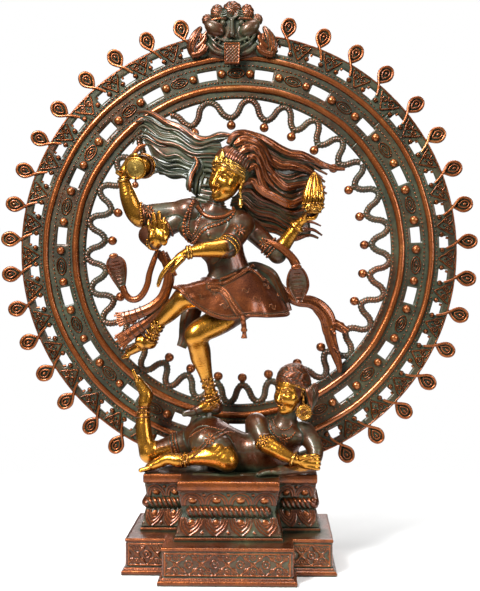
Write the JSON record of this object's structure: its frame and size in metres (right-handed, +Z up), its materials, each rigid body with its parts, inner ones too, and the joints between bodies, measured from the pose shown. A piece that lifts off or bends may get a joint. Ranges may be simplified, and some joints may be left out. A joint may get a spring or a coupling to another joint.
{
  "type": "nataraja statue",
  "caption": "Cast brass four-armed dancer on a prone dwarf inside a pierced round aureole with flame loops, standing on a stepped lotus plinth.",
  "frame": {"origin": "bottom centre of the bounding box: in the plane the plinth stands on, under the aureole's axis", "axes": "+Z up, +X to the viewer's right, the dancer faces -Y; the aureole lies in the XZ plane"},
  "size_m": [0.4529, 0.156, 0.5218],
  "materials": {
    "aged_copper": "dark red-brown copper patina, rubbed brighter on raised edges, green in the recesses",
    "patinated_copper": "brown copper patina with a heavy dark green verdigris",
    "polished_brass": "polished golden brass with brown in the creases",
    "fastener_steel": "plain zinc-plated steel, hidden in the hollow plinth"
  },
  "bodies": {
    "root": {"plinth_lower": "aged_copper", "plinth_waist": "aged_copper", "plinth_slab": "aged_copper", "rope_mouldings": "aged_copper", "aureole_top": "aged_copper", "aureole_right": "aged_copper", "aureole_bottom": "aged_copper", "aureole_left": "aged_copper", "aureole_bosses": "aged_copper", "flame_loops_left": "aged_copper", "flame_loops_right": "aged_copper", "garland_top": "patinated_copper", "garland_right": "patinated_copper", "garland_bottom": "patinated_copper", "garland_left": "patinated_copper", "kirtimukha_mask": "aged_copper", "mask_side_scrolls": "aged_copper", "dancer_torso": "aged_copper", "dancer_head": "polished_brass", "dancer_tiara": "polished_brass", "hair_left": "patinated_copper", "hair_right": "patinated_copper", "drum_arm": "polished_brass", "drum": "polished_brass", "blessing_arm": "polished_brass", "pointing_arm": "polished_brass", "flame_arm": "polished_brass", "flame": "polished_brass", "raised_leg": "polished_brass", "standing_leg": "polished_brass", "skirt": "aged_copper", "belt_sash": "aged_copper", "rear_drape": "patinated_copper", "cobra": "aged_copper", "scarf_tails": "aged_copper", "arm_serpent": "patinated_copper", "rear_sash": "aged_copper", "dwarf_body": "aged_copper", "dwarf_head": "polished_brass", "dwarf_near_leg": "polished_brass", "dwarf_raised_leg": "polished_brass", "dwarf_near_arm": "polished_brass", "dwarf_far_arm": "aged_copper", "foot_pin": "fastener_steel", "figure_bolts": "fastener_steel", "figure_washers": "fastener_steel", "aureole_studs": "fastener_steel", "aureole_washers": "fastener_steel", "aureole_nuts": "fastener_steel"}
  },
  "joints": []
}
